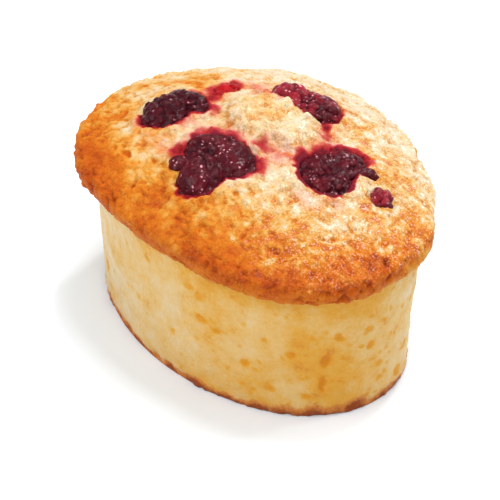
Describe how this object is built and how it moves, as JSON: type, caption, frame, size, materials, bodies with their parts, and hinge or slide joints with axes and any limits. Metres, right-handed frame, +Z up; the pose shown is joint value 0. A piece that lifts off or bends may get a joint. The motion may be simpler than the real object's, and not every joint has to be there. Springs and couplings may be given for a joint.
{
  "type": "fruit friand",
  "caption": "Small oval almond sponge cake with a browned, craggy crust that overhangs its tapered side, and whole berries baked into the domed top.",
  "frame": {"origin": "centre of the flat underside", "axes": "+X along the oval, +Y across it, +Z up"},
  "size_m": [0.0837, 0.0644, 0.0471],
  "materials": {
    "sponge": "baked sponge, golden brown crust on top",
    "berry": "wet dark red berry skin",
    "berry_pulp": "wet bright red berry pulp"
  },
  "bodies": {
    "root": {"cake": "sponge", "berry_front_left": "berry", "berry_back_left": "berry", "berry_back_right": "berry", "berry_front_right": "berry", "berry_fragment": "berry", "berry_sliver": "berry_pulp"}
  },
  "joints": []
}
